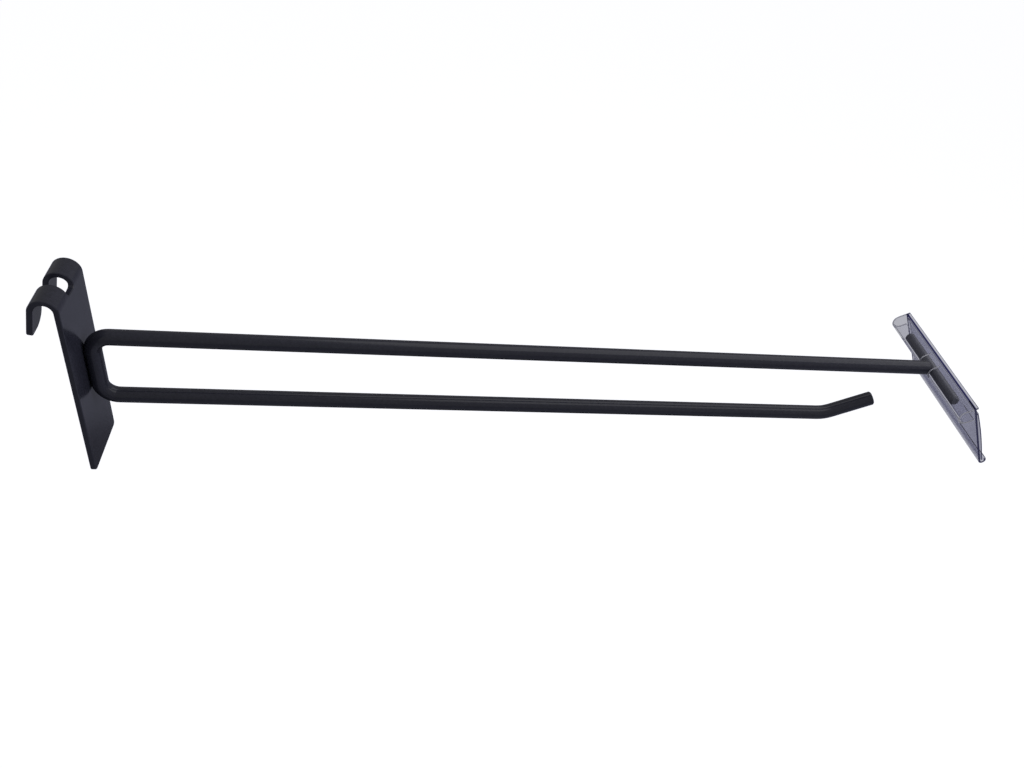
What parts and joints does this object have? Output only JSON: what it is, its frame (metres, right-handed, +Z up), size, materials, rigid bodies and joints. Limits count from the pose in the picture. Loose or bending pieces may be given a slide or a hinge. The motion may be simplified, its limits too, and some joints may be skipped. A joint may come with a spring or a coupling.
{
  "type": "double prong display hook",
  "caption": "Black wire display hook: a long upper prong carries a swing-up clear label holder, a shorter lower prong has an upturned tip, and a plate with curled fingers hangs on grid wire.",
  "frame": {"origin": "centre of the grid wire that the curled fingers hang on, midway between the fingers", "axes": "+X out from the panel along the prongs, +Y across the plate, +Z up"},
  "size_m": [0.3552, 0.0626, 0.0759],
  "materials": {
    "powder_coat": "semi-gloss black powder coat",
    "clear_plastic": "clear extruded plastic"
  },
  "bodies": {
    "hook": {"back_plate": "powder_coat", "prong_wire": "powder_coat", "cross_bar": "powder_coat"},
    "label": {"label_holder": "clear_plastic"}
  },
  "joints": [
    {"name": "label_swing", "type": "hinge", "parent": "hook", "child": "label", "pos_m": [0.3289, 0, -0.0185], "axis": [0, -1, 0], "range_deg": [0, 45]}
  ]
}
